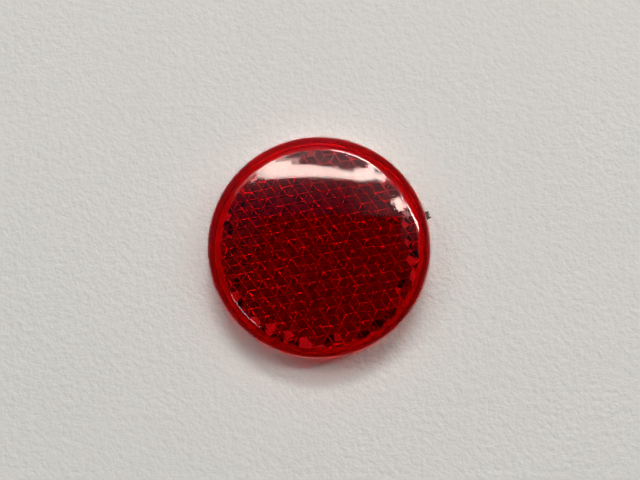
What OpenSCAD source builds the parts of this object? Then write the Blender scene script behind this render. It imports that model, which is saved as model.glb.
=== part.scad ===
// Round stick-on prismatic reflector: a clear red acrylic lens whose back is a
// field of full-cube corner prisms, closed by a recessed back plate and carried
// on a disc of double-sided foam tape.
// Frame: +Z points out of the lens front, z = 0 is the tape's rear sticky face,
// and the origin is the centre of that face. Units are millimetres.

/* [Lens] */
// Outside diameter of the button
lens_d = 31.75; // [25.4:0.05:38.1]
// Height of the crown of the dome above the mounting face
crown_z = 7.5; // [7.2:0.1:9]
// Radial width of the sloping rim outside the dome's crease
rim_w = 1.775; // [1.5:0.025:2.2]
// Rise of the shallow dome from its crease to its crown
dome_rise = 0.9; // [0.5:0.05:1.3]
// Slope of the rim, in degrees down from level
rim_slope = 27; // [22:1:34]
// Rounding between the rim and the upright side
edge_r = 1.0; // [0.6:0.1:1.4]
// Height of the skirt's bottom edge above the mounting face
skirt_z = 0.4; // [0.2:0.05:0.6]
// Width of the small chamfer around the skirt's bottom edge
skirt_chamfer = 0.2; // [0.1:0.05:0.3]
// Radial thickness of the clear skirt around the prism cavity
skirt_t = 1.955; // [1.7:0.005:2.3]

/* [Prisms] */
// Width of one hexagonal prism pin across its flats
pin_flats = 2.54; // [2.2:0.02:2.8]
// Direction of the prism rows, in degrees from +X
row_angle = 7.5; // [0:0.5:60]
// X of one pin's tip, which sets where the rows fall on the disc
pin_x = -2.26; // [-3:0.01:3]
// Y of the same pin's tip
pin_y = 2.57; // [-3:0.01:3]
// Air gap between the pin tips and the back plate
air_gap = 0.3; // [0.2:0.05:0.6]

/* [Gate] */
// Direction of the broken-off moulding gate on the side, in degrees from +X
gate_angle = 16.5; // [0:0.5:359.5]
// Width of the gate stub along the side
gate_w = 1.3; // [0.8:0.05:1.6]
// How far the gate stub stands out of the side
gate_out = 0.8; // [0.3:0.05:0.9]
// Height of the stub's underside above the skirt's bottom edge
gate_z = 3.0; // [1.2:0.1:3.2]
// Height of the gate stub
gate_h = 0.9; // [0.6:0.05:1.2]

/* [Back plate] */
// Thickness of the back plate
plate_t = 1.2; // [1:0.05:1.4]
// Width of the ledge in the skirt that the plate seats on
ledge_w = 0.43; // [0.3:0.01:0.6]
// Clearance around the plate's edge in its seat
plate_gap = 0.05; // [0.03:0.01:0.1]
// Chamfer around the plate's rear edge, which holds the cement
plate_chamfer = 0.4; // [0.3:0.05:0.5]

/* [Foam tape] */
// Diameter of the foam tape disc
pad_d = 25.4; // [20:0.1:26.5]
// Whole thickness of the tape
pad_t = 1.0; // [0.8:0.05:1.2]
// Thickness of each adhesive film on the tape's foam
film_t = 0.12; // [0.08:0.01:0.2]

/* [Hidden] */
$fn = 180;
// How far cutting and bounding shapes run past what they trim
margin = 1;

// Radii and heights shared by the lens and the plate
lens_r = lens_d / 2;
cavity_r = lens_r - skirt_t;
seat_r = cavity_r + ledge_w;
plate_z = pad_t;
seat_z = plate_z + plate_t;

// Dome: sphere radius from its chord and rise
crease_r = lens_r - rim_w;
crease_z = crown_z - dome_rise;
dome_r = (crease_r * crease_r + dome_rise * dome_rise) / (2 * dome_rise);

// The rim is a cone that starts at the crease and meets the edge round where
// the round has the same slope
round_r = lens_r - edge_r;
rim_end_r = round_r + edge_r * sin(rim_slope);
rim_end_z = crease_z - (rim_end_r - crease_r) * tan(rim_slope);
round_z = rim_end_z - edge_r * cos(rim_slope);

// A cube corner seen along its diagonal: hexagon side, and the drop from the
// valley bottoms to the tips
hex_side = pin_flats / sqrt(3);
pin_depth = pin_flats * sqrt(2 / 3);
tip_z = seat_z + air_gap;
valley_z = tip_z + pin_depth;

// ---- Lens ----------------------------------------------------------------

// Half section of the lens without its prisms
module lens_section() {
    difference() {
        intersection() {
            translate([0, crown_z - dome_r]) circle(r = dome_r, $fn = 1440);
            union() {
                polygon([[0, skirt_z], [lens_r - skirt_chamfer, skirt_z],
                         [lens_r, skirt_z + skirt_chamfer], [lens_r, round_z],
                         [round_r, round_z], [rim_end_r, rim_end_z],
                         [crease_r, crease_z], [crease_r, crown_z + margin],
                         [0, crown_z + margin]]);
                translate([round_r, round_z]) circle(r = edge_r, $fn = 144);
            }
            // Keeps the half at positive radius
            square([lens_r + margin, crown_z + margin]);
        }
        // Prism cavity, up to the valley bottoms
        translate([-margin, -margin]) square([cavity_r + margin, valley_z + margin]);
        // Seat of the back plate
        translate([-margin, -margin]) square([seat_r + margin, seat_z + margin]);
    }
}

// The prism field runs this far into the skirt and into the lens above the
// valleys, so they join as one solid
skirt_overlap = 0.3;
cap_overlap = 0.5;
field_r = cavity_r + skirt_overlap;

// The lattice is a rhombus of points, i and j each from -reach to reach
reach = ceil((field_r + norm([pin_x, pin_y])) / (hex_side * sin(60))) + 1;
row_count = 2 * reach + 1;

// Every lattice point is a tip, a shoulder or a valley bottom in turn, and each
// triangle of the three is half of one square cube face, so all faces stand
// square to each other
function lattice(i, j) = [
    pin_x + hex_side * (i * cos(row_angle) + j * cos(row_angle + 60)),
    pin_y + hex_side * (i * sin(row_angle) + j * sin(row_angle + 60)),
    tip_z + pin_depth / 2 * (((i - j) % 3 + 3) % 3)];

// Place of lattice point i, j in the polyhedron's list of points
function index(i, j) = (i + reach) * row_count + (j + reach);

// [i, j] of the points around the rhombus, in order
border = concat(
    [for (i = [-reach : reach - 1]) [i, -reach]],
    [for (j = [-reach : reach - 1]) [reach, j]],
    [for (i = [reach : -1 : -reach + 1]) [i, reach]],
    [for (j = [reach : -1 : -reach + 1]) [-reach, j]]);

// Slab with the prisms on its underside and a flat cap, trimmed to a disc
module prism_field() {
    cap_z = valley_z + cap_overlap;
    last = len(border) - 1;
    // The cap's border points follow the lattice, and its centre comes last
    cap_start = row_count * row_count;
    cap_centre = cap_start + len(border);
    points = concat(
        [for (i = [-reach : reach]) for (j = [-reach : reach]) lattice(i, j)],
        [for (step = border) let (foot = lattice(step[0], step[1])) [foot[0], foot[1], cap_z]],
        [[pin_x, pin_y, cap_z]]);
    faces = concat(
        // Prism faces, two triangles to each lattice cell
        [for (i = [-reach : reach - 1]) for (j = [-reach : reach - 1])
            [index(i, j), index(i + 1, j), index(i, j + 1)]],
        [for (i = [-reach : reach - 1]) for (j = [-reach : reach - 1])
            [index(i + 1, j), index(i + 1, j + 1), index(i, j + 1)]],
        // Upright sides
        [for (k = [0 : last]) let (next = (k + 1) % len(border))
            [cap_start + k, cap_start + next,
             index(border[next][0], border[next][1]), index(border[k][0], border[k][1])]],
        // Cap
        [for (k = [0 : last])
            [cap_start + (k + 1) % len(border), cap_start + k, cap_centre]]);
    intersection() {
        polyhedron(points = points, faces = faces, convexity = 10);
        translate([0, 0, tip_z - margin]) cylinder(r = field_r, h = pin_depth + 3 * margin);
    }
}

// Depth of the gate stub's root inside the skirt
gate_root = 0.4;
// Broken end of the stub: [part of gate_out, part of gate_w from the middle]
gate_break = [[0.7, -1/2], [1, -1/4], [0.85, 1/6], [0.95, 0.38], [0.5, 1/2]];

// Stub left where the moulding gate was snapped off the side
module gate_stub() {
    rotate([0, 0, gate_angle])
        translate([lens_r - gate_root, 0, skirt_z + gate_z])
            linear_extrude(height = gate_h)
                polygon(concat(
                    [[0, -gate_w / 2]],
                    [for (part = gate_break) [gate_root + gate_out * part[0], gate_w * part[1]]],
                    [[0, gate_w / 2]]));
}

module lens() {
    color([0.72, 0.02, 0.04, 0.75]) {
        rotate_extrude() lens_section();
        prism_field();
        gate_stub();
    }
}

// ---- Back plate ----------------------------------------------------------

plate_r = seat_r - plate_gap;
// Inner radius and front height of the plate's chamfer
chamfer_r = plate_r - plate_chamfer;
chamfer_z = plate_z + plate_chamfer;

module back_plate() {
    color([0.55, 0.02, 0.03])
        rotate_extrude()
            polygon([[0, plate_z], [chamfer_r, plate_z], [plate_r, chamfer_z],
                     [plate_r, seat_z], [0, seat_z]]);
}

// Reach of the cement inward over the plate's rear face, and rearward up the skirt
bead_foot_w = 0.15;
bead_wall_h = 0.3;
// Radius of the hollow in the bead's face
bead_hollow_r = 0.28;

// Cement run into the groove between the plate's chamfer and the skirt, with a
// hollow fillet face
module seal_bead() {
    foot_r = chamfer_r - bead_foot_w;
    wall_z = plate_z - bead_wall_h;
    color([0.85, 0.72, 0.6])
        rotate_extrude()
            difference() {
                polygon([[foot_r, plate_z], [chamfer_r, plate_z], [plate_r, chamfer_z],
                         [seat_r, chamfer_z], [seat_r, wall_z], [foot_r, wall_z]]);
                // Hollow of the fillet
                translate([foot_r, wall_z]) circle(r = bead_hollow_r, $fn = 48);
            }
}

// ---- Foam tape -----------------------------------------------------------

// How far the foam's edge stands in from the adhesive films
foam_inset = 0.1;
adhesive_color = [0.82, 0.80, 0.74];

module tape_layer(rear_z, front_z, inset = 0) {
    translate([0, 0, rear_z]) cylinder(d = pad_d - 2 * inset, h = front_z - rear_z);
}

module tape_front_adhesive() {
    color(adhesive_color) tape_layer(pad_t - film_t, pad_t);
}

module tape_foam() {
    color([0.93, 0.93, 0.90]) tape_layer(film_t, pad_t - film_t, foam_inset);
}

module tape_rear_adhesive() {
    color(adhesive_color) tape_layer(0, film_t);
}

lens();
back_plate();
seal_bead();
tape_front_adhesive();
tape_foam();
tape_rear_adhesive();
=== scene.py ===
"""A round red prism reflector lying on a pale table.

The part is centred on the Z axis with its domed lens facing +Z. Below the lens are the back
plate, a bead of cement round it, and a disc of double-sided foam tape. Prisms hang from the
roof of the lens cavity, and a snapped-off gate stub stands out from the lens wall.
Sizes are in millimetres unless a comment says otherwise; meshes are scaled to metres.
"""

import math

import bpy
import numpy as np
from mathutils import Matrix, Vector, noise


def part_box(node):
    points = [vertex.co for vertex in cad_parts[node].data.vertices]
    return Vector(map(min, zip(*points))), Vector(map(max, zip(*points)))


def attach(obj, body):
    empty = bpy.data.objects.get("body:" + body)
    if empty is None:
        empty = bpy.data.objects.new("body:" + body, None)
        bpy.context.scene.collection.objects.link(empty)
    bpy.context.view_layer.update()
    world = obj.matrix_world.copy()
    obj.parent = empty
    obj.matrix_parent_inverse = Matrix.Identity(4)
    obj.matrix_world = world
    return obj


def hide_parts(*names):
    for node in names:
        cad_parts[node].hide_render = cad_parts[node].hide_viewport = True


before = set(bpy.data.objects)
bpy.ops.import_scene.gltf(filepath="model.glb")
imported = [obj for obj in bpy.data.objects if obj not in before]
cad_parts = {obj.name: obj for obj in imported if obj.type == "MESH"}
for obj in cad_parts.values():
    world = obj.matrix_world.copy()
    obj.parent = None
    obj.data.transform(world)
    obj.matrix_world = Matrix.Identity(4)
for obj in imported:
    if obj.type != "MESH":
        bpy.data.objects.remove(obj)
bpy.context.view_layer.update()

MM = 0.001
TAU = 2 * math.pi

# ---------------------------------------------------------------------------
# Sizes
# ---------------------------------------------------------------------------


def node_box(name):
    lo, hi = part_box(name)
    return np.array(lo) / MM, np.array(hi) / MM


lens_lo, lens_hi = node_box("lens")
plate_lo, plate_hi = node_box("back_plate")
seal_lo, seal_hi = node_box("seal_bead")
front_lo, front_hi = node_box("tape_front_adhesive")
foam_lo, foam_hi = node_box("tape_foam")
rear_lo, rear_hi = node_box("tape_rear_adhesive")

SEG = 360  # straight sides in every turned piece

# Lens: a dome, a crease, a sloping rim, a rounded edge and an upright skirt
LENS_R = (lens_hi[1] - lens_lo[1]) / 2
CROWN_Z = lens_hi[2]
SKIRT_Z = lens_lo[2]
SKIRT_T = 1.955
CAVITY_R = LENS_R - SKIRT_T
DOME_RISE = 0.9
RIM_W = 1.775
RIM_SLOPE = math.radians(27)
CREASE_R = LENS_R - RIM_W
CREASE_Z = CROWN_Z - DOME_RISE
CREASE_ROUND = 2.0
DOME_R = (CREASE_R**2 + DOME_RISE**2) / (2 * DOME_RISE)
DOME_CENTRE = np.array([0.0, CROWN_Z - DOME_R])
EDGE_R = 1.0
EDGE_X = LENS_R - EDGE_R + EDGE_R * math.sin(RIM_SLOPE)
EDGE_Z = CREASE_Z - (EDGE_X - CREASE_R) * math.tan(RIM_SLOPE)
ROUND_Z = EDGE_Z - EDGE_R * math.cos(RIM_SLOPE)

# Back plate and its seat in the lens
SEAT_R = (seal_hi[1] - seal_lo[1]) / 2
SEAT_Z = plate_hi[2]
PLATE_Z = plate_lo[2]
PLATE_R = (plate_hi[1] - plate_lo[1]) / 2
CHAMFER = 0.4

# Prisms: cube corners on a hexagonal grid
PIN_AF = 2.54  # across flats
HEX_A = PIN_AF / math.sqrt(3)
CUBE_E = PIN_AF / math.sqrt(2)  # edge of the cube
ROW = math.radians(7.5)  # turn of the grid about Z
PIN_X, PIN_Y = -2.26, 2.57  # one pin's place, which sets the grid
TIP_Z = SEAT_Z + 0.3
RIDGE = 0.085  # rounding radii
VALLEY = 0.085
ROUND_STEPS = 4

# ---------------------------------------------------------------------------
# Mesh helpers. A profile run is a list of ((radius, z), normal) stations.
# ---------------------------------------------------------------------------


def add_object(name, verts, faces):
    mesh = bpy.data.meshes.new(name)
    mesh.from_pydata([tuple(np.asarray(v) * MM) for v in verts], [], [tuple(f) for f in faces])
    mesh.update()
    ob = bpy.data.objects.new(name, mesh)
    bpy.context.scene.collection.objects.link(ob)
    return ob


def arc(cx, cz, radius, start, end, steps):
    """Stations on an arc, normals away from its centre; angles in degrees from +radius."""
    out = []
    for t in np.linspace(math.radians(start), math.radians(end), steps + 1):
        c, s = math.cos(t), math.sin(t)
        out.append(((cx + radius * c, cz + radius * s), (c, s)))
    return out


def straight(normal, *points):
    return [(p, normal) for p in points]


def turned(station, turn):
    """A profile point or normal carried round Z by turn = (cosine, sine)."""
    return (station[0] * turn[0], station[0] * turn[1], station[1])


def wave(p, seed, scale=1.0):
    """Smooth fixed noise between -1 and 1."""
    x, y, z = p
    return noise.noise(Vector((x * scale + seed, y * scale - seed, z * scale + 2 * seed)))


class Build:
    """Collects vertices, faces and corner normals, merging vertices that share a place."""

    def __init__(self):
        self.verts, self.faces, self.normals, self.keys = [], [], [], {}

    def vert(self, p):
        key = (round(p[0] * 1e5), round(p[1] * 1e5), round(p[2] * 1e5))
        if key not in self.keys:
            self.keys[key] = len(self.verts)
            self.verts.append(np.array(p, float))
        return self.keys[key]

    def face(self, points, normals=None):
        corners = {}
        for k, p in enumerate(points):
            corners.setdefault(self.vert(p), k)
        if len(corners) >= 3:
            self.faces.append(list(corners))
            if normals is not None:
                self.normals += [normals[k] for k in corners.values()]

    def revolve(self, runs, flip=False, wobble=None):
        """Turns the runs about Z. Each run is smooth inside and sharp at its ends."""
        angles = [TAU * k / SEG for k in range(SEG)] + [0.0]
        turns = [(math.cos(a), math.sin(a)) for a in angles]
        for run in runs:
            for (p, p_normal), (q, q_normal) in zip(run, run[1:]):
                for a, b in zip(turns, turns[1:]):
                    quad = [turned(p, a), turned(p, b), turned(q, b), turned(q, a)]
                    normals = [turned(p_normal, a), turned(p_normal, b),
                               turned(q_normal, b), turned(q_normal, a)]
                    if wobble:
                        quad = [wobble(v) for v in quad]
                    if flip:
                        quad, normals = quad[::-1], normals[::-1]
                    self.face(quad, normals)

    def object(self, name):
        ob = add_object(name, self.verts, self.faces)
        mesh = ob.data
        mesh.validate(verbose=False)
        mesh.polygons.foreach_set("use_smooth", [True] * len(mesh.polygons))
        # Validation may drop faces, and then the normals no longer match the corners
        if len(mesh.loops) == len(self.normals):
            mesh.normals_split_custom_set([tuple(n) for n in self.normals])
        mesh.update()
        return ob


def clip(points, normals, a, b, c):
    """Cuts a polygon to a*x + b*y <= c in plan, with its normals."""
    out_points, out_normals = [], []
    count = len(points)
    for i in range(count):
        j = (i + 1) % count
        p, q = points[i], points[j]
        p_side, q_side = a * p[0] + b * p[1] - c, a * q[0] + b * q[1] - c
        if p_side <= 1e-9:
            out_points.append(p)
            out_normals.append(normals[i])
        if (p_side < -1e-9 and q_side > 1e-9) or (p_side > 1e-9 and q_side < -1e-9):
            t = p_side / (p_side - q_side)
            normal = normals[i] + (normals[j] - normals[i]) * t
            out_points.append(p + (q - p) * t)
            out_normals.append(normal / np.linalg.norm(normal))
    return out_points, out_normals


# ---------------------------------------------------------------------------
# Lens shell
# ---------------------------------------------------------------------------


def crease_centre():
    """The centre of the crease's round, which touches the dome and the rim's cone from inside."""
    normal = np.array([math.sin(RIM_SLOPE), math.cos(RIM_SLOPE)])
    along = np.array([math.cos(RIM_SLOPE), -math.sin(RIM_SLOPE)])
    start = np.array([CREASE_R, CREASE_Z]) - CREASE_ROUND * normal - DOME_CENTRE
    half = float(start @ along)
    root = math.sqrt(half * half - float(start @ start) + (DOME_R - CREASE_ROUND) ** 2)
    t = min((-half + root, -half - root), key=abs)
    return DOME_CENTRE + start + t * along


def lens_profile():
    """From the crown, over the rim and down the skirt to the seat, then the ledge inwards."""
    foot_round, seat_round = 0.2, 0.08
    crease = crease_centre()
    dome_end = math.degrees(math.atan2(*(crease - DOME_CENTRE)[::-1]))
    rim_angle = 90 - math.degrees(RIM_SLOPE)
    mouth_r = SEAT_R + seat_round
    skin = arc(*DOME_CENTRE, DOME_R, 90, dome_end, 22)
    skin += arc(*crease, CREASE_ROUND, dome_end, rim_angle, 14)[1:]
    skin += arc(LENS_R - EDGE_R, ROUND_Z, EDGE_R, rim_angle, 0, 18)
    skin += straight((1.0, 0.0), (LENS_R, SKIRT_Z + foot_round))
    skin += arc(LENS_R - foot_round, SKIRT_Z + foot_round, foot_round, 0, -90, 6)[1:]
    skin += straight((0.0, -1.0), (mouth_r, SKIRT_Z))
    skin += arc(mouth_r, SKIRT_Z + seat_round, seat_round, 270, 180, 4)[1:]
    skin += straight((-1.0, 0.0), (SEAT_R, SEAT_Z))
    ledge = straight((0.0, -1.0), (SEAT_R, SEAT_Z), (CAVITY_R, SEAT_Z))
    return [skin, ledge]


# ---------------------------------------------------------------------------
# Prisms: generators of (points, normals) polygons
# ---------------------------------------------------------------------------

# The three cube edges that rise from each tip
AXES = [np.array([math.sqrt(2 / 3) * math.cos(ROW + k * TAU / 3),
                  math.sqrt(2 / 3) * math.sin(ROW + k * TAU / 3),
                  math.sqrt(1 / 3)]) for k in range(3)]
QUARTER = [math.pi / 2 * k / ROUND_STEPS for k in range(ROUND_STEPS + 1)]


def between(start, end, angle):
    """The direction reached by turning from start towards end, a right angle apart."""
    return math.cos(angle) * start + math.sin(angle) * end


def rounded_corner(centre, radius, sign):
    """An eighth of a ball; sign is -1 for a tip and 1 for a pit."""
    def point(i, j):
        weights = [math.sin(math.pi / 2 * n / ROUND_STEPS) for n in (i, j, ROUND_STEPS - i - j)]
        w = AXES[0] * weights[0] + AXES[1] * weights[1] + AXES[2] * weights[2]
        w /= np.linalg.norm(w)
        return centre + sign * radius * w, -w

    for i in range(ROUND_STEPS):
        for j in range(ROUND_STEPS - i):
            a, b, c = point(i, j), point(i + 1, j), point(i, j + 1)
            yield zip(*(a, b, c))
            if i + j < ROUND_STEPS - 1:
                yield zip(*(b, point(i + 1, j + 1), c))


def shoulder(corner):
    """The fan round a corner where three ridges and three valleys meet in turn."""
    ring = []
    for m in range(3):
        ej, ek, ei = AXES[m], AXES[(m + 1) % 3], AXES[(m + 2) % 3]
        for angle in QUARTER[:-1]:
            w = between(ek, ej, angle)
            ring.append((corner - VALLEY * ei + RIDGE * (ej + ek) - RIDGE * w, -w))
        for angle in QUARTER[:-1]:
            w = between(ei, ek, angle)
            ring.append((corner + RIDGE * ej - VALLEY * (ei + ek) + VALLEY * w, -w))
    ring.sort(key=lambda t: math.atan2(t[0][1] - corner[1], t[0][0] - corner[0]))
    down = np.array([0.0, 0.0, -1.0])
    for (p, p_normal), (q, q_normal) in zip(ring, ring[1:] + ring[:1]):
        yield [corner, p, q], [down, p_normal, q_normal]


def pin(tip):
    near, far = RIDGE, CUBE_E - VALLEY
    for k in range(3):
        e1, e2, e3 = AXES[k], AXES[(k + 1) % 3], AXES[(k + 2) % 3]
        # Flat face in the plane of e1 and e2
        flat = [(near, near), (far, near), (far, far), (near, far)]
        yield [tip + s * e1 + t * e2 for s, t in flat], [-e3] * 4
        # Ridge along e1
        base = tip + RIDGE * (e2 + e3)
        s0, s1 = near * e1, far * e1
        for a, b in zip(QUARTER, QUARTER[1:]):
            wa, wb = between(e3, e2, a), between(e3, e2, b)
            yield ([base + s0 - RIDGE * wb, base + s1 - RIDGE * wb,
                    base + s1 - RIDGE * wa, base + s0 - RIDGE * wa], [-wb, -wb, -wa, -wa])
        # Valley along e2, at the far end of e1
        corner = tip + CUBE_E * e1
        base = corner - VALLEY * (e1 + e3)
        s0, s1 = near * e2, far * e2
        for a, b in zip(QUARTER, QUARTER[1:]):
            wa, wb = between(e3, e1, a), between(e3, e1, b)
            yield ([base + s0 + VALLEY * wa, base + s0 + VALLEY * wb,
                    base + s1 + VALLEY * wb, base + s1 + VALLEY * wa], [-wa, -wb, -wb, -wa])
        yield from shoulder(corner)
    diagonal = AXES[0] + AXES[1] + AXES[2]
    yield from rounded_corner(tip + RIDGE * diagonal, RIDGE, -1)
    pit = tip + CUBE_E * (AXES[0] + AXES[1])
    yield from rounded_corner(pit - VALLEY * diagonal, VALLEY, 1)


def prism_faces():
    """The rounded cube-corner surface, over a disc a little wider than the cavity."""
    u = np.array([math.cos(ROW), math.sin(ROW)]) * HEX_A
    v = np.array([math.cos(ROW + TAU / 6), math.sin(ROW + TAU / 6)]) * HEX_A
    reach = int((CAVITY_R + 4) / HEX_A) + 3
    for i in range(-reach, reach + 1):
        for j in range(-reach, reach + 1):
            # A third of the grid points are tips
            if (i - j) % 3:
                continue
            x, y = np.array([PIN_X, PIN_Y]) + i * u + j * v
            if np.linalg.norm((x, y)) <= CAVITY_R + 2 * HEX_A:
                yield from pin(np.array([x, y, TIP_Z]))


def trim_to_cavity(points, normals, centre):
    """Cuts a polygon to the cavity wall, which has SEG straight sides."""
    apothem = CAVITY_R * math.cos(math.pi / SEG)
    radii = [math.hypot(p[0], p[1]) for p in points]
    if max(radii) <= apothem:
        return points, normals
    if min(radii) > CAVITY_R + 2 and math.hypot(centre[0], centre[1]) > CAVITY_R + 2:
        return [], []
    mid = math.atan2(centre[1], centre[0])
    angles = [math.atan2(q[1], q[0]) for q in points]
    spread = max(abs((a - mid + math.pi) % TAU - math.pi) for a in angles)
    first = int(math.floor((mid - spread) / TAU * SEG)) - 1
    last = int(math.ceil((mid + spread) / TAU * SEG)) + 1
    for k in range(first, last + 1):
        t = (k + 0.5) * TAU / SEG
        points, normals = clip(points, normals, math.cos(t), math.sin(t), apothem)
        if len(points) < 3:
            break
    return points, normals


def plan_area(points):
    """Twice the signed area seen from above."""
    return sum(p[0] * q[1] - q[0] * p[1] for p, q in zip(points, points[1:] + points[:1]))


def add_prisms(b):
    seen = set()
    for points, normals in prism_faces():
        points, normals = list(points), list(normals)
        # Neighbouring pins make some polygons twice
        centre = np.mean(points, axis=0)
        key = tuple(np.round(centre * 1e4).astype(int)) + (len(points),)
        if key in seen:
            continue
        seen.add(key)
        points, normals = trim_to_cavity(points, normals, centre)
        if len(points) < 3:
            continue
        # Faces look down, so their corners run clockwise seen from above
        if plan_area(points) > 0:
            points, normals = points[::-1], normals[::-1]
        b.face(points, normals)


def add_cavity_wall(b):
    """Joins the ledge to the cut edge of the prisms."""
    # Edges that no second face shares lie on the cavity wall
    edges = dict.fromkeys((f[i], f[(i + 1) % len(f)]) for f in b.faces for i in range(len(f)))
    upper = {}
    for edge in edges:
        if edge[::-1] not in edges:
            for i in edge:
                if b.verts[i][2] > SEAT_Z + 1e-3:
                    upper[i] = math.atan2(b.verts[i][1], b.verts[i][0]) % TAU
    chain = sorted(upper, key=lambda i: upper[i])
    step = TAU / SEG
    for k in range(SEG):
        start, end = k * step, (k + 1) * step
        ids = [i for i in chain if start - 1e-6 <= upper[i] <= end + 1e-6]
        if k == SEG - 1:
            ids += [i for i in chain if upper[i] < 1e-6]
        if k == 0:
            ids = [i for i in chain if upper[i] > TAU - 1e-6] + ids
        foot = [(CAVITY_R * math.cos(t), CAVITY_R * math.sin(t), SEAT_Z) for t in (start, end)]
        points = [foot[0]] + [tuple(b.verts[i]) for i in dict.fromkeys(ids)] + [foot[1]]
        b.face(points, [(-p[0] / CAVITY_R, -p[1] / CAVITY_R, 0.0) for p in points])


def mark_outer_skin(ob):
    """Sets "outer" to 1 on everything outside the prism cavity."""
    attr = ob.data.attributes.new("outer", "FLOAT", "POINT")
    co = np.zeros(len(ob.data.vertices) * 3, np.float32)
    ob.data.vertices.foreach_get("co", co)
    co = co.reshape(-1, 3) / MM
    radius = np.hypot(co[:, 0], co[:, 1])
    pit_z = TIP_Z + PIN_AF * math.sqrt(2 / 3)
    outer = (radius > SEAT_R + 0.02) | (co[:, 2] > pit_z + 0.05)
    attr.data.foreach_set("value", outer.astype(np.float32))


def build_lens():
    b = Build()
    b.revolve(lens_profile(), flip=True)
    add_prisms(b)
    add_cavity_wall(b)
    return b.object("lens_body")


# ---------------------------------------------------------------------------
# The other pieces
# ---------------------------------------------------------------------------

DIAGONAL = math.sqrt(0.5)


def build_plate():
    edge = 0.06
    # The front stops a hair short of the lens ledge, so that the two faces never share a plane
    top_z = SEAT_Z - 0.01
    # A shallow recess in the front leaves a raised land where the ledge seats
    recess = 0.1
    land_r = CAVITY_R - 0.35
    floor_r, floor_z = land_r - recess, top_z - recess
    wall = straight((1.0, 0.0), (PLATE_R, PLATE_Z + CHAMFER), (PLATE_R, top_z - edge))
    wall += arc(PLATE_R - edge, top_z - edge, edge, 0, 90, 4)[1:]
    b = Build()
    b.revolve([
        straight((0.0, -1.0), (0.0, PLATE_Z), (6.0, PLATE_Z), (PLATE_R - CHAMFER, PLATE_Z)),
        straight((DIAGONAL, -DIAGONAL), (PLATE_R - CHAMFER, PLATE_Z),
                 (PLATE_R, PLATE_Z + CHAMFER)),
        wall,
        straight((0.0, 1.0), (PLATE_R - edge, top_z), (land_r, top_z)),
        straight((-DIAGONAL, DIAGONAL), (land_r, top_z), (floor_r, floor_z)),
        straight((0.0, 1.0), (floor_r, floor_z), (7.0, floor_z), (0.0, floor_z)),
    ])
    return b.object("back_plate_moulding")


def build_seal():
    foot_r, foot_z = PLATE_R - CHAMFER - 0.15, PLATE_Z - 0.02
    wall_r, wall_z = SEAT_R - 0.01, PLATE_Z - 0.3
    top_z = PLATE_Z + CHAMFER
    steps = 8

    def wobble(p):
        """Runs the free surface in and out a little; the held sides stay put."""
        r = math.hypot(p[0], p[1])
        if p[2] >= PLATE_Z - 1e-4 or r >= wall_r - 1e-4:
            return p
        t = math.atan2(p[1], p[0])
        c, s = math.cos(t), math.sin(t)
        shift = 0.05 * wave((c * 5, s * 5, 0), 3.1) + 0.02 * wave((c * 22, s * 22, 0), 7.7)
        moved = min(r + shift, wall_r)
        drop = 0.5 * shift * min(1.0, (PLATE_Z - p[2]) / 0.1)
        return (p[0] * moved / r, p[1] * moved / r, p[2] + drop)

    # Hollow fillet from the plate's rear face to the skirt wall
    angles = [math.pi / 2 * k / steps for k in range(steps + 1)]
    points = [(foot_r + (wall_r - foot_r) * math.sin(a),
               foot_z - (foot_z - wall_z) * (1 - math.cos(a))) for a in angles]
    fillet = []
    for k, p in enumerate(points):
        along = np.array(points[min(k + 1, steps)]) - np.array(points[max(k - 1, 0)])
        along /= np.linalg.norm(along)
        fillet.append((p, (along[1], -along[0])))
    b = Build()
    b.revolve([
        straight((-1.0, 0.0), (foot_r, PLATE_Z), points[0]),
        fillet,
        straight((1.0, 0.0), points[-1], (wall_r, top_z)),
        straight((0.0, 1.0), (wall_r, top_z), (PLATE_R, top_z)),
        straight((-DIAGONAL, DIAGONAL), (PLATE_R, top_z), (PLATE_R - CHAMFER, PLATE_Z)),
        straight((0.0, 1.0), (PLATE_R - CHAMFER, PLATE_Z), (foot_r, PLATE_Z)),
    ], wobble=wobble)
    return b.object("seal_bead_cement")


def build_disc(name, lo, hi, inset, edge, rows, rough, seed):
    """A die-cut disc: soft edges, rows up the side, and a slightly torn cut."""
    r = (hi[0] - lo[0]) / 2 - inset
    z0, z1 = lo[2], hi[2]
    rings = [0.0, r * 0.25, r * 0.5, r * 0.75, r * 0.93]
    run = straight((0.0, -1.0), *[(x, z0) for x in rings])
    run += arc(r - edge, z0 + edge, edge, -90, 0, 3)
    run += straight((1.0, 0.0), *[(r, z0 + edge + (z1 - z0 - 2 * edge) * k / rows)
                                  for k in range(1, rows)])
    run += arc(r - edge, z1 - edge, edge, 0, 90, 3)
    run += straight((0.0, 1.0), *[(x, z1) for x in rings[::-1]])

    def wobble(p):
        q = math.hypot(p[0], p[1])
        if q < r - 0.3:
            return p
        k = rough * (0.6 * wave(p, seed, 2.1) + 0.6 * wave(p, seed + 5, 6.5) - 0.5)
        return (p[0] * (q + k) / q, p[1] * (q + k) / q, p[2])

    b = Build()
    b.revolve([run], wobble=wobble)
    return b.object(name)


GATE_ANGLE = math.radians(16.5)  # about Z, from +X
GATE_W, GATE_H, GATE_OUT = 1.3, 0.9, 0.86
GATE_Z = SKIRT_Z + 3.0 + GATE_H / 2
GATE_BURIED = 0.35  # depth of the root inside the lens wall
GATE_LIMIT = 0.98  # furthest reach out of the wall
TORN_FROM = 0.35  # share of the length where the tearing starts
# Prongs of the torn end: place across (-1 to 1), half width, length
PRONGS = ((0.72, 0.24, 0.34), (-0.78, 0.24, 0.42), (0.05, 0.22, 0.16))


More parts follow.
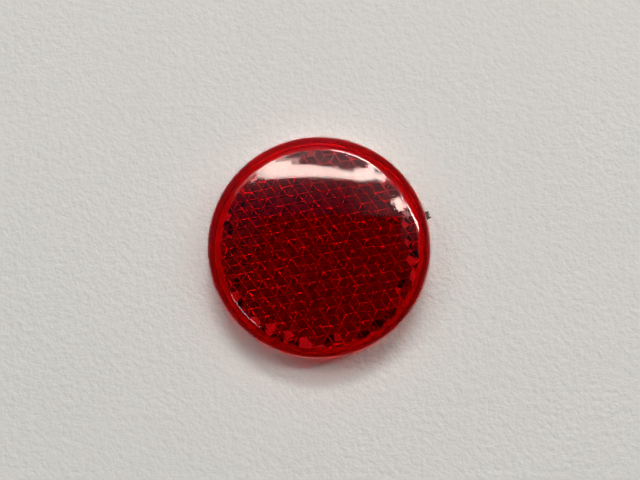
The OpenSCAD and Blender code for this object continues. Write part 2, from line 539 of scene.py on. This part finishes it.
def gate_tear(x, u, v):
    """How far the torn end is drawn out, before fading in along the stub."""
    torn = 0.12 * wave((u * 1.7, v * 1.7, x), 4.2) + 0.10 * wave((u * 4.5, v * 4.5, x), 9.4)
    torn -= 0.08 * (u * u + v * v)
    torn += sum(length * max(0.0, 1 - abs(u - at) / half) for at, half, length in PRONGS) - 0.24
    # Drawn-out strands
    strand = 0.20 * (abs(((u + 1) * 2.0) % 1.0 - 0.5) * 2 - 0.5)
    return torn + strand * (1.0 + 0.8 * wave((round(u * 2) * 3.1, v * 2.3, 0), 2.2))


def gate_point(x, u, v):
    """x runs from 0 at the root to 1 at the torn end; u, v from -1 to 1 across the stub."""
    taper = 1 - 0.18 * x
    y = u * GATE_W / 2 * taper
    z = v * GATE_H / 2 * taper
    # Squarish section with rounded corners
    length = math.hypot(u, v)
    if length > 1e-9:
        k = max(abs(u), abs(v)) / length
        y *= 0.35 * k + 0.65
        z *= 0.35 * k + 0.65
    out = LENS_R - GATE_BURIED + (GATE_BURIED + GATE_OUT * 0.92) * x
    if x > TORN_FROM:
        out += gate_tear(x, u, v) * (x - TORN_FROM) / (1 - TORN_FROM)
    y += 0.03 * wave((out * 3, u * 3, v * 3), 1.3)
    z += 0.03 * wave((out * 3, u * 3, v * 3), 6.3)
    out = min(out, LENS_R + GATE_LIMIT)
    c, s = math.cos(GATE_ANGLE), math.sin(GATE_ANGLE)
    return (out * c - y * s, out * s + y * c, GATE_Z + z)


def build_gate():
    """The snapped-off gate: a squat lump with a torn end."""
    across, upward, lengthwise = 24, 14, 6
    us = [-1 + 2 * k / across for k in range(across + 1)]
    vs = [-1 + 2 * k / upward for k in range(upward + 1)]
    loop = [(u, -1) for u in us[:-1]] + [(1, v) for v in vs[:-1]]
    loop += [(1 - 2 * k / across, 1) for k in range(across)]
    loop += [(-1, 1 - 2 * k / upward) for k in range(upward)]
    b = Build()

    def quad(*corners):
        b.face([gate_point(*corner) for corner in corners])

    for s in range(lengthwise):
        x0, x1 = s / lengthwise, (s + 1) / lengthwise
        for p, q in zip(loop, loop[1:] + loop[:1]):
            quad((x0, *p), (x0, *q), (x1, *q), (x1, *p))
    for u0, u1 in zip(us, us[1:]):
        for v0, v1 in zip(vs, vs[1:]):
            quad((1.0, u0, v0), (1.0, u1, v0), (1.0, u1, v1), (1.0, u0, v1))
            quad((0.0, u0, v0), (0.0, u0, v1), (0.0, u1, v1), (0.0, u1, v0))
    return b.object("gate_stub")


lens = build_lens()
plate = build_plate()
seal = build_seal()
film_front = build_disc("tape_front_film", front_lo, front_hi,
                        inset=0.02, edge=0.025, rows=3, rough=0.05, seed=2.0)
foam = build_disc("tape_foam_disc", foam_lo, foam_hi,
                  inset=0.0, edge=0.05, rows=12, rough=0.09, seed=11.0)
film_rear = build_disc("tape_rear_film", rear_lo, rear_hi,
                       inset=0.02, edge=0.025, rows=3, rough=0.05, seed=5.0)
gate = build_gate()

for piece, cad_node, slot in (
    (lens, "lens", "lens_acrylic"),
    (plate, "back_plate", "back_plate_plastic"),
    (seal, "seal_bead", "seal_cement"),
    (film_front, "tape_front_adhesive", "tape_adhesive"),
    (foam, "tape_foam", "tape_foam"),
    (film_rear, "tape_rear_adhesive", "tape_adhesive"),
    (gate, None, "lens_acrylic"),
):
    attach(piece, "root")
    if cad_node:
        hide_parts(cad_node)

# ---------------------------------------------------------------------------
# Node helpers
# ---------------------------------------------------------------------------


def rgba(value):
    """A colour from a socket (kept), a grey level, or red, green and blue."""
    if isinstance(value, bpy.types.NodeSocket):
        return value
    if isinstance(value, (int, float)):
        value = (value,) * 3
    return (*value, 1.0)


class Nodes:
    """Builds the node tree of a material or world. Inputs may be given values or sockets."""

    def __init__(self, owner, output="ShaderNodeOutputMaterial", math_inputs=3):
        owner.use_nodes = True
        self.owner = owner
        self.tree = owner.node_tree
        self.tree.nodes.clear()
        self.output = self.node(output)
        self.math_inputs = math_inputs

    def put(self, node, key, value):
        if isinstance(value, bpy.types.NodeSocket):
            self.tree.links.new(value, node.inputs[key])
        else:
            node.inputs[key].default_value = value

    def node(self, kind, inputs=None, **settings):
        n = self.tree.nodes.new(kind)
        for key, value in settings.items():
            setattr(n, key, value)
        for key, value in (inputs or {}).items():
            self.put(n, key, value)
        return n

    def finish(self, surface):
        self.put(self.output, "Surface", surface)
        return self.owner

    def math(self, op, *operands, clamp=False):
        """Operands left out are set to zero, up to math_inputs."""
        operands += (0.0,) * (self.math_inputs - len(operands))
        inputs = dict(enumerate(operands))
        return self.node("ShaderNodeMath", inputs, operation=op, use_clamp=clamp).outputs[0]

    def add(self, a, b):
        return self.math("ADD", a, b)

    def multiply(self, a, b):
        return self.math("MULTIPLY", a, b)

    def length(self, x, y):
        return self.math("SQRT", self.add(self.multiply(x, x), self.multiply(y, y)))

    def vary(self, texture, base, swing):
        """base plus texture times swing."""
        return self.add(base, self.multiply(texture, swing))

    def weighted(self, *terms):
        """The sum of (texture, weight) terms."""
        parts = [self.multiply(texture, weight) for texture, weight in terms]
        total = parts.pop()
        while parts:
            total = self.add(parts.pop(), total)
        return total

    def mix(self, factor, a, b, blend="MIX"):
        inputs = {0: factor, 6: rgba(a), 7: rgba(b)}
        return self.node("ShaderNodeMix", inputs, data_type="RGBA", blend_type=blend).outputs[2]

    def mix_shader(self, factor, a, b):
        inputs = {0: factor, 1: a.outputs[0], 2: b.outputs[0]}
        return self.node("ShaderNodeMixShader", inputs).outputs[0]

    def ramp(self, factor, *stops):
        """Each stop is (position, colour or grey level)."""
        n = self.node("ShaderNodeValToRGB", {0: factor})
        elements = n.color_ramp.elements
        while len(elements) < len(stops):
            elements.new(0.5)
        for element, (position, colour) in zip(elements, stops):
            element.position = position
            element.color = rgba(colour)
        return n.outputs[0]

    def noise(self, vector, scale, detail=2.0, roughness=0.5, distortion=0.0):
        return self.node("ShaderNodeTexNoise", {
            "Vector": vector, "Scale": scale, "Detail": detail,
            "Roughness": roughness, "Distortion": distortion}).outputs["Fac"]

    def voronoi(self, vector, scale, feature="F1"):
        inputs = {"Vector": vector, "Scale": scale, "Randomness": 1.0}
        return self.node("ShaderNodeTexVoronoi", inputs, feature=feature).outputs["Distance"]

    def bump(self, height, strength, distance):
        """distance is in metres."""
        inputs = {"Height": height, "Strength": strength, "Distance": distance}
        return self.node("ShaderNodeBump", inputs).outputs[0]

    def separate(self, vector):
        return self.node("ShaderNodeSeparateXYZ", {0: vector}).outputs

    def position(self):
        """Place in the object's frame, in millimetres."""
        coords = self.node("ShaderNodeTexCoord").outputs["Object"]
        inputs = {0: coords, "Scale": 1 / MM}
        return self.node("ShaderNodeVectorMath", inputs, operation="SCALE").outputs[0]

    def vector_length(self, vector):
        return self.node("ShaderNodeVectorMath", {0: vector}, operation="LENGTH").outputs["Value"]

    def principled(self, **inputs):
        """Underscores in the input names stand for spaces."""
        inputs = {key.replace("_", " "): value for key, value in inputs.items()}
        return self.node("ShaderNodeBsdfPrincipled", inputs)


def new_material(name):
    m = Nodes(bpy.data.materials.new(name))
    return m, m.position()


# ---------------------------------------------------------------------------
# Materials
# ---------------------------------------------------------------------------


def lens_material():
    crease_r = 14.0  # middle of the rougher band on the skin
    frosted_below, foot_below = 2.35, 1.0  # heights
    flat_slope, upright_slope = 0.7, 0.3  # limits on the upward part of the normal
    m, pos = new_material("clear_red_acrylic")
    outer = m.node("ShaderNodeAttribute", attribute_name="outer").outputs["Fac"]
    # Moulded skin: faint waviness on the outside only, so that the prisms stay true
    wavy = m.noise(pos, scale=0.7)
    fine = m.noise(pos, scale=4.0, detail=1.0)
    scuff = m.noise(pos, scale=10.0)
    height = m.weighted((wavy, 0.40), (fine, 0.20), (scuff, 0.12))
    # The crease is rougher than the dome
    x, y, z = m.separate(pos)
    away = m.math("ABSOLUTE", m.math("SUBTRACT", m.length(x, y), crease_r))
    near = m.math("SUBTRACT", 1.0, m.multiply(away, 2.0), clamp=True)
    crease = m.multiply(m.noise(pos, scale=5.5, detail=0.0), 0.9)
    height = m.add(height, m.multiply(near, crease))
    bump = m.bump(height, strength=m.multiply(outer, 1.0), distance=4e-6)
    geometry = m.node("ShaderNodeNewGeometry").outputs
    steep = m.math("ABSOLUTE", m.separate(geometry["True Normal"])["Z"])
    # The cemented ledge and the skirt's foot are frosted, the polished skin is not
    low = m.multiply(m.math("LESS_THAN", z, frosted_below),
                     m.math("GREATER_THAN", steep, flat_slope))
    foot = m.math("LESS_THAN", z, foot_below)
    skin = m.multiply(outer, m.multiply(m.noise(pos, scale=1.7, detail=3.0), 0.05))
    glass = m.node("ShaderNodeBsdfGlass", {
        "Color": (1.0, 0.985, 0.985, 1.0),
        "IOR": 1.491,
        "Normal": bump,
        "Roughness": m.math("MAXIMUM", skin, m.multiply(low, 0.3))})
    # Shadow rays: flat faces let the most light by, the prisms little, and the upright wall
    # only from inside; frosting and the foot halve it
    flat = m.math("GREATER_THAN", steep, flat_slope)
    prism = m.multiply(m.math("GREATER_THAN", steep, upright_slope), 0.05)
    passing = m.math("MAXIMUM", flat, prism)
    dimmed = m.multiply(m.math("MAXIMUM", low, foot), 0.5)
    passing = m.multiply(passing, m.math("SUBTRACT", 1.0, dimmed))
    wall = m.multiply(m.math("LESS_THAN", steep, upright_slope),
                      m.multiply(geometry["Backfacing"], 0.5))
    shade = m.mix(m.math("MAXIMUM", passing, wall), 0.0, 0.25)
    clear = m.node("ShaderNodeBsdfTransparent", {"Color": shade})
    shadow = m.node("ShaderNodeLightPath").outputs["Is Shadow Ray"]
    volume = m.node("ShaderNodeVolumeAbsorption", {
        "Density": 1500.0, "Color": (0.934, 0.33, 0.40, 1.0)})
    m.put(m.output, "Volume", volume.outputs[0])
    return m.finish(m.mix_shader(shadow, glass, clear))


def plate_material():
    painted_shade_r = 13.4  # radius inside which shade is painted into the colour
    m, pos = new_material("red_moulded_plastic")
    patches = m.noise(pos, scale=1.3, detail=3.0)
    flow = m.noise(pos, scale=0.35, distortion=1.5)
    colour = m.mix(m.multiply(flow, 0.6), (0.46, 0.010, 0.011), (0.39, 0.008, 0.009))
    # Painted shade: the middle, under the prisms, is darker than the land that the lens sits on,
    # as the prisms let little light reach it
    plan = m.node("ShaderNodeVectorMath", {0: pos, 1: (1.0, 1.0, 0.0)}, operation="MULTIPLY")
    away = m.vector_length(plan.outputs[0])
    colour = m.mix(m.math("GREATER_THAN", away, painted_shade_r), (0.34, 0.007, 0.008), colour)
    grain = m.noise(pos, scale=14.0)
    surface = m.principled(
        Base_Color=colour,
        Roughness=m.vary(patches, base=0.32, swing=0.15),
        IOR=1.52,
        Normal=m.bump(grain, strength=0.25, distance=3e-5))
    return m.finish(surface.outputs[0])


def seal_material():
    m, pos = new_material("clear_cement")
    bubbles = m.ramp(m.voronoi(pos, scale=2.6), (0.0, 1), (0.10, 0.2), (0.16, 0))
    colour = m.mix(m.noise(pos, scale=0.8), (0.42, 0.10, 0.07), (0.55, 0.22, 0.15))
    colour = m.mix(m.multiply(bubbles, 0.5), colour, (0.75, 0.5, 0.42))
    surface = m.principled(
        Base_Color=colour,
        Roughness=m.vary(m.noise(pos, scale=3.0), base=0.10, swing=0.15),
        IOR=1.48,
        Transmission_Weight=0.25,
        Coat_Weight=0.4,
        Coat_Roughness=0.08,
        Normal=m.bump(m.noise(pos, scale=2.2, detail=3.0), strength=0.4, distance=6e-5))
    return m.finish(surface.outputs[0])


def foam_material():
    m, pos = new_material("closed_cell_foam")
    cells = m.voronoi(pos, scale=7.0)
    small_cells = m.voronoi(pos, scale=15.0)
    # Darker spots at the cell centres: painted shade in the pores' hollows
    pore_shade = m.ramp(cells, (0.0, (0.25, 0.25, 0.24)), (0.28, (0.75, 0.75, 0.73)), (0.5, 1))
    base = m.mix(m.noise(pos, scale=0.7, detail=3.0), (0.80, 0.79, 0.74), (0.68, 0.67, 0.62))
    colour = m.mix(0.8, base, pore_shade, blend="MULTIPLY")
    height = m.weighted((cells, 1.0), (small_cells, 0.5))
    surface = m.principled(
        Base_Color=colour,
        Roughness=0.85,
        IOR=1.45,
        Subsurface_Weight=0.15,
        Subsurface_Scale=0.0004,
        Normal=m.bump(height, strength=0.8, distance=9e-5))
    return m.finish(surface.outputs[0])


def film_material():
    m, pos = new_material("adhesive_film")
    blotch = m.noise(pos, scale=0.45, detail=4.0, distortion=0.6)
    bubbles = m.ramp(m.voronoi(pos, scale=1.1), (0.0, 1), (0.06, 0.4), (0.09, 0))
    colour = m.mix(blotch, (0.70, 0.66, 0.52), (0.80, 0.78, 0.68))
    colour = m.mix(m.multiply(bubbles, 0.35), colour, (0.9, 0.89, 0.84))
    ripple = m.noise(pos, scale=1.1, detail=3.0, distortion=0.8)
    height = m.weighted((ripple, 1.0), (m.noise(pos, scale=9.0), 0.12))
    surface = m.principled(
        Base_Color=colour,
        Roughness=m.vary(m.noise(pos, scale=2.2, detail=3.0), base=0.16, swing=0.25),
        IOR=1.47,
        Coat_Weight=0.3,
        Coat_Roughness=0.15,
        Normal=m.bump(height, strength=0.5, distance=5e-5))
    return m.finish(surface.outputs[0])


def gate_material():
    m, pos = new_material("torn_gate_grime")
    grime = m.noise(pos, scale=4.0, detail=4.0, distortion=0.5)
    colour = m.ramp(grime, (0.35, (0.016, 0.009, 0.006)), (0.5, (0.045, 0.022, 0.013)),
                    (0.62, (0.11, 0.045, 0.028)), (0.72, (0.20, 0.16, 0.10)))
    surface = m.principled(
        Base_Color=colour,
        Roughness=m.vary(grime, base=0.55, swing=0.35),
        Normal=m.bump(m.noise(pos, scale=9.0, detail=3.0), strength=0.8, distance=1e-4))
    return m.finish(surface.outputs[0])


def table_material():
    m, pos = new_material("pale_table")
    soft = m.noise(pos, scale=0.9, detail=4.0, roughness=0.55)
    cells = m.voronoi(pos, scale=1.25, feature="SMOOTH_F1")
    grit = m.noise(pos, scale=1.9, roughness=0.6)
    fine = m.noise(pos, scale=4.5, detail=3.0)
    height = m.weighted((soft, 0.7), (cells, 0.30), (fine, 0.16))
    height = m.add(height, m.multiply(grit, 0.45))
    tone = m.noise(pos, scale=0.02)
    colour = m.mix(tone, (0.545, 0.545, 0.530), (0.565, 0.56, 0.542))
    patches = m.multiply(m.ramp(soft, (0.3, 0), (0.7, 1)), 0.12)
    colour = m.mix(patches, colour, (0.475, 0.47, 0.452))
    surface = m.principled(
        Base_Color=colour,
        Roughness=0.55,
        Specular_IOR_Level=0.25,
        Normal=m.bump(height, strength=1.0, distance=3e-4))
    # Seen from below the table isn't there, so the back of the part can be looked at
    below = m.node("ShaderNodeNewGeometry").outputs["Backfacing"]
    return m.finish(m.mix_shader(below, surface, m.node("ShaderNodeBsdfTransparent")))


def card_material():
    """A dim red glow, darker in its middle, that stands in for the lit surroundings round the
    camera which the prisms send back.
    """
    m, pos = new_material("return_card_glow")
    away = m.math("DIVIDE", m.vector_length(pos), 10.0)
    uneven = m.multiply(m.math("SUBTRACT", m.noise(pos, scale=0.8), 0.5), 0.18)
    glow = m.ramp(m.add(away, uneven), (0.02, (0.04, 0.0, 0.0)), (0.10, (0.16, 0.0, 0.004)),
                  (0.16, (0.40, 0.001, 0.008)), (0.24, (0.22, 0.0, 0.005)),
                  (1.0, (0.15, 0.0, 0.003)))
    return m.finish(m.node("ShaderNodeEmission", {"Color": glow}).outputs[0])


mark_outer_skin(lens)
lens.data.materials.append(lens_material())
plate.data.materials.append(plate_material())
seal.data.materials.append(seal_material())
foam.data.materials.append(foam_material())
film = film_material()
film_front.data.materials.append(film)
film_rear.data.materials.append(film)
gate.data.materials.append(gate_material())

# ---------------------------------------------------------------------------
# Table, camera and return card
# ---------------------------------------------------------------------------

TABLE_HALF = 3000
TABLE_Z = rear_lo[2] - 0.005
HOLE_R = (rear_hi[0] - rear_lo[0]) / 2 - 0.15
HOLE_SIDES = 72
CAMERA_AT = (3.92, -12.64, 140.5)
CAMERA_AIM = (0.143, 1.117, 3.5)
CARD_HALF = 45
CARD_GAP = 3.0  # height of the card above the camera


def build_table():
    """A square top with a round hole that the tape covers, so that light reaches its back."""
    n = HOLE_SIDES
    turns = [(math.cos(TAU * k / n), math.sin(TAU * k / n)) for k in range(n)]
    inner = [(HOLE_R * c, HOLE_R * s, TABLE_Z) for c, s in turns]
    outer = []
    for c, s in turns:
        r = TABLE_HALF / max(abs(c), abs(s))
        outer.append((r * c, r * s, TABLE_Z))
    faces = [(k, n + k, n + (k + 1) % n, (k + 1) % n) for k in range(n)]
    table = add_object("table", inner + outer, faces)
    table.data.materials.append(table_material())


def add_camera():
    data = bpy.data.cameras.new("camera")
    data.sensor_width = 36.0
    data.lens = 53.8
    data.clip_start = 0.002
    data.clip_end = 20.0
    camera = bpy.data.objects.new("camera", data)
    bpy.context.scene.collection.objects.link(camera)
    camera.location = Vector(CAMERA_AT) * MM
    # +Y is up in the picture
    ahead = (Vector(CAMERA_AIM) * MM - camera.location).normalized()
    right = ahead.cross(Vector((0, 1, 0))).normalized()
    upward = right.cross(ahead)
    camera.rotation_euler = Matrix((right, upward, -ahead)).transposed().to_euler()
    bpy.context.scene.camera = camera


def build_return_card():
    """What the prisms send back to the viewer: a card over the camera, facing down."""
    h = CARD_HALF
    corners = [(-h, h, 0), (h, h, 0), (h, -h, 0), (-h, -h, 0)]
    card = add_object("return_card", corners, [(0, 1, 2, 3)])
    x, y, z = CAMERA_AT
    card.location = Vector((x, y, z + CARD_GAP)) * MM
    card.data.materials.append(card_material())
    card.visible_camera = False
    card.visible_shadow = False
    card.visible_diffuse = False


build_table()
add_camera()
build_return_card()

# ---------------------------------------------------------------------------
# Lamps: strips in the ceiling. East is +X and north is +Y.
# ---------------------------------------------------------------------------

CEILING = 2.0  # metres
WARM = (1.0, 0.985, 0.95)
CREAM = (1.0, 0.81, 0.72)
PALE_BLUE = (0.85, 0.85, 1.0)
PALE_WARM = (1.0, 0.97, 0.95)

# In every lamp table: x, y of one end, x, y of the other, width, brightness.
# Lengths are in ceiling heights, so an end's x, y is its slope from upright.

# The row of ceiling panels of uneven depth that the dome mirrors
PANELS = (
    (-0.290, 0.350, -0.262, 0.372, 0.012, 8.0),
    (-0.272, 0.384, -0.235, 0.392, 0.046, 16.0),
    (-0.242, 0.396, -0.135, 0.396, 0.070, 22.0),
    (-0.135, 0.388, -0.035, 0.384, 0.052, 21.0),
    (-0.035, 0.382, 0.045, 0.378, 0.046, 20.0),
    (0.045, 0.371, 0.105, 0.367, 0.036, 22.0),
    (0.105, 0.369, 0.150, 0.371, 0.052, 24.0),
    (0.150, 0.379, 0.185, 0.379, 0.056, 24.0),
    (0.185, 0.369, 0.228, 0.360, 0.032, 22.0),
    (0.165, 0.408, 0.215, 0.450, 0.040, 27.0),
    (-0.200, 0.438, -0.105, 0.428, 0.030, 6.0),
    (0.262, 0.278, 0.290, 0.236, 0.036, 24.0),
    (0.290, 0.238, 0.313, 0.208, 0.016, 4.5),
)
# The strips that the crease mirrors
STRIPS = (
    ("strip_east", 0.338, 0.257, 0.830, 0.350, 0.070, 36.0),
    ("strip_far_east", 0.830, 0.350, 1.420, 0.425, 0.120, 36.0),
    ("strip_north_east", 0.235, 0.460, 0.030, 0.525, 0.080, 75.0),
    ("strip_north_west", -0.300, 0.470, -0.660, 0.500, 0.070, 6.0),
)
WEST_STRIP = (("strip_west", -0.684, -0.235, -0.480, -0.490, 0.180, 7.0),)
# One broad main light on the table, others around it, and an even fill from above
FILLS = (
    ("main_light", -0.200, 0.810, 0.320, 0.760, 0.260, 27.0),
    ("row_light", -0.250, 0.385, 0.210, 0.370, 0.045, 34.0),
    ("east_light", 0.300, 0.255, 1.400, 0.420, 0.080, 28.0),
    ("north_west_light", -0.950, 0.150, -0.500, 0.600, 0.250, 11.0),
    ("top_fill", -0.700, 0.000, 0.700, 0.000, 1.400, 0.12),
)
# Two wide lamps square to two of the prism rows, which draw those rows' edges
GLINTS = (
    ("glint_north", -0.550, 0.700, 0.350, 0.820, 0.700, 52.0),
    ("glint_east", 0.813, 0.182, 0.387, 0.738, 0.600, 34.0),
)


def add_strip(name, x0, y0, x1, y1, width, radiance, colour, role):
    """role: "shine" is seen in the polished skin, "fill" lights the table and "glint" is seen
    through the prisms."""
    data = bpy.data.lights.new(name, "AREA")
    data.shape = "RECTANGLE"
    data.size = math.hypot(x1 - x0, y1 - y0) * CEILING
    data.size_y = width * CEILING
    data.color = colour
    data.energy = radiance * math.pi * data.size * data.size_y
    ob = bpy.data.objects.new(name, data)
    ob.location = ((x0 + x1) / 2 * CEILING, (y0 + y1) / 2 * CEILING, CEILING)
    ob.rotation_euler = (0.0, 0.0, math.atan2(y1 - y0, x1 - x0))
    ob.visible_camera = False
    ob.visible_glossy = role == "shine"
    ob.visible_diffuse = role == "fill"
    ob.visible_transmission = role == "glint"
    bpy.context.scene.collection.objects.link(ob)


for colour, role, lamps in (
    (CREAM, "shine", [(f"panel_{k}", *panel) for k, panel in enumerate(PANELS)]),
    (CREAM, "shine", STRIPS),
    (PALE_BLUE, "shine", WEST_STRIP),
    (WARM, "fill", FILLS),
    (PALE_WARM, "glint", GLINTS),
):
    for lamp in lamps:
        add_strip(*lamp, colour, role)

# ---------------------------------------------------------------------------
# World
# ---------------------------------------------------------------------------

WALLS = 0.12  # brightness of the walls


def ceiling_level(w, slope_x, slope_y):
    """Brightness of the surroundings; slopes are from upright."""
    # Dark overhead and paler towards the walls, dimmer in the south
    dx = w.multiply(w.add(slope_x, 0.02), 0.75)
    dy = w.add(slope_y, 0.10)
    far = w.length(dx, dy)
    level = w.ramp(w.math("DIVIDE", far, 6.0), (0.0, 0.006), (0.07, 0.02), (0.25, 0.014),
                   (0.33, 0.03), (0.42, WALLS), (1.0, WALLS * 1.8))
    northward = w.math("DIVIDE", slope_y, w.add(w.multiply(far, 2.0), 0.2))
    level = w.multiply(level, w.ramp(w.add(northward, 0.5), (0.15, 0.35), (0.65, 1.0)))
    # A bright band round the row of panels
    band = w.ramp(slope_y, (0.22, 0.0), (0.28, 0.06), (0.32, 0.16), (0.35, 0.45),
                  (0.38, 0.9), (0.44, 0.7), (0.53, 0.0))
    side = w.ramp(w.math("ABSOLUTE", w.add(slope_x, 0.02)), (0.25, 1.0), (0.50, 0.0))
    # A round glow at the row's east end
    ex, ey = w.math("SUBTRACT", slope_x, 0.26), w.math("SUBTRACT", slope_y, 0.29)
    glow = w.ramp(w.length(ex, ey), (0.03, 0.42), (0.13, 0.14), (0.20, 0.0))
    return w.add(w.add(level, w.multiply(band, side)), glow)


def build_world():
    world = bpy.data.worlds.new("studio")
    bpy.context.scene.world = world
    w = Nodes(world, "ShaderNodeOutputWorld", math_inputs=2)
    path = w.node("ShaderNodeLightPath").outputs
    x, y, z = w.separate(w.node("ShaderNodeTexCoord").outputs["Generated"])
    height = w.math("MAXIMUM", z, 0.02)
    slope_x, slope_y = w.math("DIVIDE", x, height), w.math("DIVIDE", y, height)
    level = ceiling_level(w, slope_x, slope_y)
    colour = w.mix(1.0, level, (0.97, 0.985, 1.0), blend="MULTIPLY")
    # A faint violet cast in the north, in reflections only
    violet = w.multiply(w.ramp(slope_y, (0.04, 0.0), (0.26, 1.0)),
                        w.ramp(w.math("ABSOLUTE", slope_x), (0.25, 1.0), (0.60, 0.3)))
    violet = w.multiply(violet, path["Is Glossy Ray"])
    colour = w.mix(violet, colour, (0.03, 0.008, 0.09), blend="ADD")
    # An even light from below the table for looking at the back
    colour = w.mix(w.math("LESS_THAN", z, -0.02), colour, (0.75, 0.75, 0.74))
    # The surroundings are seen through the red plastic only as red
    colour = w.mix(path["Is Transmission Ray"], colour, (0.9, 0.06, 0.10), blend="MULTIPLY")
    lit = w.node("ShaderNodeBackground", {"Color": colour, "Strength": 1.0})
    # The camera itself sees a plain pale background
    backdrop = {"Color": (0.80, 0.80, 0.79, 1), "Strength": 0.9}
    seen = w.node("ShaderNodeBackground", backdrop)
    w.finish(w.mix_shader(path["Is Camera Ray"], lit, seen))


build_world()

# ---------------------------------------------------------------------------
# Render settings
# ---------------------------------------------------------------------------

view = bpy.context.scene.view_settings
view.view_transform = "Standard"
view.look = "None"
view.exposure = 0.0
view.gamma = 1.0

cycles = bpy.context.scene.cycles
cycles.max_bounces = 24
cycles.transmission_bounces = 24
cycles.glossy_bounces = 16
cycles.diffuse_bounces = 4
cycles.transparent_max_bounces = 24
cycles.volume_bounces = 0
cycles.caustics_reflective = True
cycles.caustics_refractive = True
cycles.blur_glossy = 0.3
cycles.sample_clamp_indirect = 24.0
cycles.sample_clamp_direct = 0.0
cycles.use_denoising = True
cycles.denoiser = "OPENIMAGEDENOISE"
cycles.denoising_input_passes = "RGB_ALBEDO_NORMAL"
cycles.seed = 7
